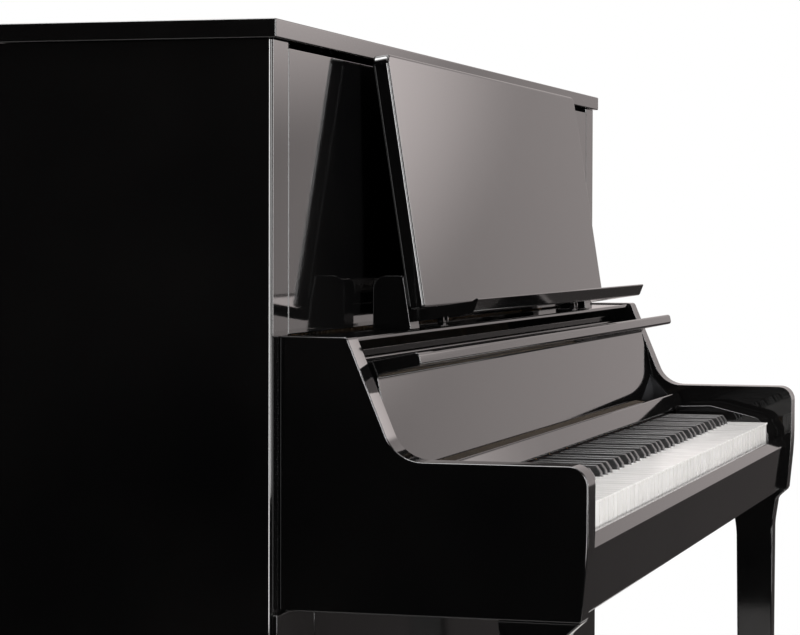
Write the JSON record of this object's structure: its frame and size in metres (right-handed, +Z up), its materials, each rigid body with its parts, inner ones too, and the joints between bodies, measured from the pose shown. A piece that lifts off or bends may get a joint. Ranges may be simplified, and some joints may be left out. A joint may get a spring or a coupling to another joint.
{
  "type": "upright piano",
  "caption": "Black polished upright piano with slim front legs, open fallboard, tilting music desk, keyboard, pedals and casters.",
  "frame": {"origin": "on the floor, in the middle of the footprint of the piano with its lid closed", "axes": "+X towards the treble end, +Y towards the back, +Z up; the player is at -Y"},
  "size_m": [1.524, 0.6124, 1.22],
  "materials": {
    "polish": "black polyester lacquer on wood, polished to a mirror gloss",
    "ivory": "warm white key covering, satin gloss",
    "ebony": "matt black key covering",
    "spruce": "clear varnished spruce",
    "beech": "sealed beech and maple",
    "plate_iron": "bronze-gold sprayed cast plate",
    "steel": "bright steel",
    "felt": "pressed wool felt",
    "brass": "polished brass"
  },
  "bodies": {
    "case": {"side_panel_left": "polish", "side_panel_right": "polish", "lower_stile_left": "polish", "lower_stile_right": "polish", "upper_front_panel": "polish", "lower_front_panel": "polish", "plinth": "polish", "arm_left": "polish", "arm_right": "polish", "leg_left": "polish", "leg_right": "polish", "toe_block_left": "polish", "toe_block_right": "polish", "key_bed": "polish", "key_slip": "polish", "key_block_left": "polish", "key_block_right": "polish", "nameboard_strip": "polish", "desk_ledge": "polish", "fallboard_back": "polish", "desk_stop_left": "polish", "desk_stop_right": "polish", "soundboard": "spruce", "key_frame": "beech", "back_frame": "beech", "pin_block": "beech", "bass_bridge": "beech", "treble_bridge": "beech", "action_frame": "beech", "iron_plate": "plate_iron", "desk_hinge_left": "steel", "desk_hinge_right": "steel", "string_bank": "steel", "pedal_bearings": "steel", "caster_fork_rear_left": "steel", "caster_fork_rear_right": "steel"},
    "lid_body": {"lid": "polish"},
    "fallboard_body": {"fallboard": "polish", "fallboard_bracket_left": "steel", "fallboard_bracket_right": "steel"},
    "music_desk": {"desk_panel": "polish", "desk_tray": "polish"},
    "hammers": {"hammer_row": "felt"},
    "dampers": {"damper_row": "felt"},
    "muffler": {"muffler_rail": "felt"},
    "soft_pedal": {"pedal_soft": "brass"},
    "practice_pedal": {"pedal_practice": "brass"},
    "sustain_pedal": {"pedal_sustain": "brass"},
    "bass_naturals": {"naturals_bass": "ivory"},
    "bass_sharps": {"sharps_bass": "ebony"},
    "tenor_naturals": {"naturals_tenor": "ivory"},
    "tenor_sharps": {"sharps_tenor": "ebony"},
    "middle_naturals": {"naturals_middle": "ivory"},
    "middle_sharps": {"sharps_middle": "ebony"},
    "treble_naturals": {"naturals_treble": "ivory"},
    "treble_sharps": {"sharps_treble": "ebony"},
    "front_left_wheel": {"caster_wheel_front_left": "brass"},
    "front_right_wheel": {"caster_wheel_front_right": "brass"},
    "rear_left_wheel": {"caster_wheel_rear_left": "brass"},
    "rear_right_wheel": {"caster_wheel_rear_right": "brass"}
  },
  "joints": [
    {"name": "lid_hinge", "type": "hinge", "parent": "case", "child": "lid_body", "pos_m": [0, 0.3062, 1.201], "axis": [-1, 0, 0], "range_deg": [0, 95]},
    {"name": "fallboard_hinge", "type": "hinge", "parent": "case", "child": "fallboard_body", "pos_m": [0, -0.1421, 0.7343], "axis": [1, 0, 0], "range_deg": [0, 101.5]},
    {"name": "music_desk_tilt", "type": "hinge", "parent": "case", "child": "music_desk", "pos_m": [0, -0.055, 0.9123], "axis": [1, 0, 0], "range_deg": [0, 20]},
    {"name": "bass_naturals_press", "type": "hinge", "parent": "case", "child": "bass_naturals", "pos_m": [0, -0.062, 0.707], "axis": [1, 0, 0], "range_deg": [0, 2.5], "stiffness_Nm_per_rad": 30, "springref_deg": -5.73},
    {"name": "bass_sharps_press", "type": "hinge", "parent": "case", "child": "bass_sharps", "pos_m": [0, -0.062, 0.707], "axis": [1, 0, 0], "range_deg": [0, 2.5], "stiffness_Nm_per_rad": 15, "springref_deg": -5.73},
    {"name": "tenor_naturals_press", "type": "hinge", "parent": "case", "child": "tenor_naturals", "pos_m": [0, -0.062, 0.707], "axis": [1, 0, 0], "range_deg": [0, 2.5], "stiffness_Nm_per_rad": 30, "springref_deg": -5.73},
    {"name": "tenor_sharps_press", "type": "hinge", "parent": "case", "child": "tenor_sharps", "pos_m": [0, -0.062, 0.707], "axis": [1, 0, 0], "range_deg": [0, 2.5], "stiffness_Nm_per_rad": 15, "springref_deg": -5.73},
    {"name": "middle_naturals_press", "type": "hinge", "parent": "case", "child": "middle_naturals", "pos_m": [0, -0.062, 0.707], "axis": [1, 0, 0], "range_deg": [0, 2.5], "stiffness_Nm_per_rad": 30, "springref_deg": -5.73},
    {"name": "middle_sharps_press", "type": "hinge", "parent": "case", "child": "middle_sharps", "pos_m": [0, -0.062, 0.707], "axis": [1, 0, 0], "range_deg": [0, 2.5], "stiffness_Nm_per_rad": 15, "springref_deg": -5.73},
    {"name": "treble_naturals_press", "type": "hinge", "parent": "case", "child": "treble_naturals", "pos_m": [0, -0.062, 0.707], "axis": [1, 0, 0], "range_deg": [0, 2.5], "stiffness_Nm_per_rad": 30, "springref_deg": -5.73},
    {"name": "treble_sharps_press", "type": "hinge", "parent": "case", "child": "treble_sharps", "pos_m": [0, -0.062, 0.707], "axis": [1, 0, 0], "range_deg": [0, 2.5], "stiffness_Nm_per_rad": 15, "springref_deg": -5.73},
    {"name": "soft_pedal_press", "type": "hinge", "parent": "case", "child": "soft_pedal", "pos_m": [-0.085, 0.092, 0.088], "axis": [1, 0, 0], "range_deg": [0, 5.5], "stiffness_Nm_per_rad": 20, "springref_deg": -14.32},
    {"name": "practice_pedal_press", "type": "hinge", "parent": "case", "child": "practice_pedal", "pos_m": [0, 0.092, 0.088], "axis": [1, 0, 0], "range_deg": [0, 5.5], "stiffness_Nm_per_rad": 20, "springref_deg": -14.32},
    {"name": "sustain_pedal_press", "type": "hinge", "parent": "case", "child": "sustain_pedal", "pos_m": [0.085, 0.092, 0.088], "axis": [1, 0, 0], "range_deg": [0, 5.5], "stiffness_Nm_per_rad": 20, "springref_deg": -14.32},
    {"name": "hammer_rest_move", "type": "hinge", "parent": "case", "child": "hammers", "pos_m": [0, 0.09, 0.885], "axis": [-1, 0, 0], "range_deg": [0, 5]},
    {"name": "muffler_drop", "type": "hinge", "parent": "case", "child": "muffler", "pos_m": [0, 0.06, 1.09], "axis": [-1, 0, 0], "range_deg": [0, 20]},
    {"name": "damper_lift", "type": "hinge", "parent": "case", "child": "dampers", "pos_m": [0, 0.131, 0.872], "axis": [1, 0, 0], "range_deg": [0, 2.5]},
    {"name": "front_left_wheel_roll", "type": "hinge", "parent": "case", "child": "front_left_wheel", "pos_m": [-0.716, -0.262, 0.018], "axis": [1, 0, 0], "continuous": true},
    {"name": "front_right_wheel_roll", "type": "hinge", "parent": "case", "child": "front_right_wheel", "pos_m": [0.716, -0.262, 0.018], "axis": [1, 0, 0], "continuous": true},
    {"name": "rear_left_wheel_roll", "type": "hinge", "parent": "case", "child": "rear_left_wheel", "pos_m": [-0.716, 0.262, 0.018], "axis": [1, 0, 0], "continuous": true},
    {"name": "rear_right_wheel_roll", "type": "hinge", "parent": "case", "child": "rear_right_wheel", "pos_m": [0.716, 0.262, 0.018], "axis": [1, 0, 0], "continuous": true}
  ],
  "couplings": [
    {"joint": "hammer_rest_move", "follows": "soft_pedal_press", "ratio": 0.9},
    {"joint": "muffler_drop", "follows": "practice_pedal_press", "ratio": 3.6},
    {"joint": "damper_lift", "follows": "sustain_pedal_press", "ratio": 0.45}
  ]
}
